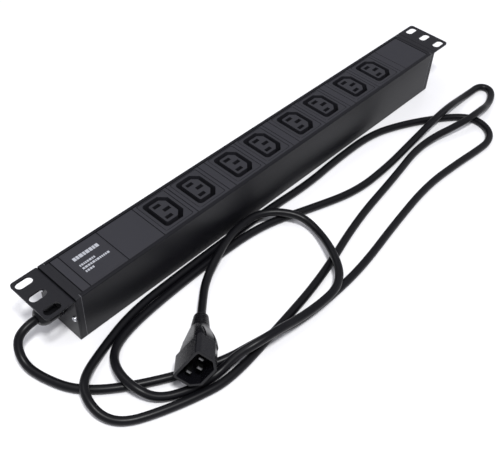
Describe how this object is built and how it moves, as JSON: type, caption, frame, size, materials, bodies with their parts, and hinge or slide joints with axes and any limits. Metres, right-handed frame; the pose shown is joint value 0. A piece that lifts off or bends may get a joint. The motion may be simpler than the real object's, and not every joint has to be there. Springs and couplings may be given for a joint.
{
  "type": "rack power strip",
  "caption": "Slim rack power strip with keyed appliance outlets in snap-in modules, slotted rack ears, a cable gland and a loosely looped lead with a moulded plug.",
  "frame": {"origin": "centre of the housing's footprint, on the surface that its back lies on", "axes": "+X along the strip, away from the cable gland; +Y across it, away from the loops of the lead; +Z out of the outlets, up when the strip lies on its back"},
  "size_m": [0.5273, 0.1519, 0.0444],
  "materials": {
    "housing": "dark grey anodised, satin, with fine lengthwise draw lines",
    "cap": "fine moulded grain",
    "bracket": "black satin powder coat",
    "screw": "bright plated",
    "module": "dark grey, fine spark-eroded grain",
    "socket": "dark grey, slightly smoother than the panels",
    "label": "satin film with plain pale marks",
    "carrier": "natural nylon",
    "contact": "stamped brass",
    "gland": "black nylon, satin",
    "seal": "black synthetic rubber",
    "hardware": "zinc plated",
    "cord": "black PVC sheath, satin",
    "plug": "black PVC moulding, semi-gloss",
    "pin": "nickel plated",
    "wire_brown": "PVC insulation",
    "wire_blue": "PVC insulation",
    "wire_green": "PVC insulation, green with a yellow stripe"
  },
  "bodies": {
    "root": {"housing_profile": "housing", "end_cap_left": "cap", "rack_bracket_left": "bracket", "bracket_screws_left": "screw", "end_cap_right": "cap", "rack_bracket_right": "bracket", "bracket_screws_right": "screw", "socket_frame_1": "module", "socket_insert_1": "socket", "socket_frame_2": "module", "socket_insert_2": "socket", "socket_frame_3": "module", "socket_insert_3": "socket", "socket_frame_4": "module", "socket_insert_4": "socket", "socket_frame_5": "module", "socket_insert_5": "socket", "socket_frame_6": "module", "socket_insert_6": "socket", "socket_frame_7": "module", "socket_insert_7": "socket", "socket_frame_8": "module", "socket_insert_8": "socket", "filler_strip_1": "module", "filler_strip_2": "module", "filler_strip_3": "module", "filler_strip_4": "module", "filler_strip_5": "module", "blank_panel_left": "module", "blank_panel_right": "module", "label_panel": "module", "label_plate": "label", "busbar_carrier": "carrier", "busbar_line": "contact", "busbar_neutral": "contact", "busbar_earth": "contact", "gland_body": "gland", "gland_dome_nut": "gland", "gland_seal": "seal", "gland_locknut": "hardware", "cord_tail": "cord", "wire_line": "wire_brown", "wire_neutral": "wire_blue", "wire_earth": "wire_green", "wire_bond": "wire_green", "earth_stud": "hardware", "earth_lug": "hardware", "earth_nut": "hardware", "plug_body": "plug", "plug_pin_base": "plug", "plug_pin_line": "pin", "plug_pin_neutral": "pin", "plug_pin_earth": "pin", "supply_cord": "cord"}
  },
  "joints": []
}
